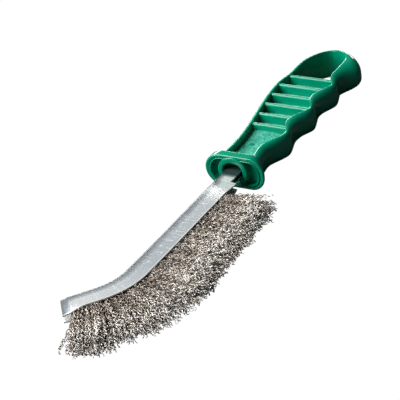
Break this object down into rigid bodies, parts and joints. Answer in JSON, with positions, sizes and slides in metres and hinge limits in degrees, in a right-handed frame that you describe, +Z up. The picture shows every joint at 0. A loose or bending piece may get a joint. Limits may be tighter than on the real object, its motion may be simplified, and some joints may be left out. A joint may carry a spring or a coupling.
{
  "type": "wire scratch brush",
  "caption": "Wire scratch brush: bent steel channel filled with crimped wire, set in a ribbed plastic handle with finger hollows and a hang hole.",
  "frame": {"origin": "on the collar's lower flat, which the brush lies on when it is on its side, under the middle of the ring boss and 1.3 mm from the flat's own middle", "axes": "+X along the handle, from the toe to the hang hole; the wires point to -Y; +Z up, from one ribbed side to the other"},
  "size_m": [0.2793, 0.0619, 0.0174],
  "materials": {
    "handle": "glossy moulded green",
    "channel": "galvanised, with light streaks",
    "core_wire": "drawn wire",
    "wire_fill": "crimped spring wire, warm grey"
  },
  "bodies": {
    "root": {"handle": "handle", "channel": "channel", "core_wire": "core_wire", "wire_fill_01": "wire_fill", "wire_fill_02": "wire_fill", "wire_fill_03": "wire_fill", "wire_fill_04": "wire_fill", "wire_fill_05": "wire_fill", "wire_fill_06": "wire_fill", "wire_fill_07": "wire_fill", "wire_fill_08": "wire_fill"}
  },
  "joints": []
}
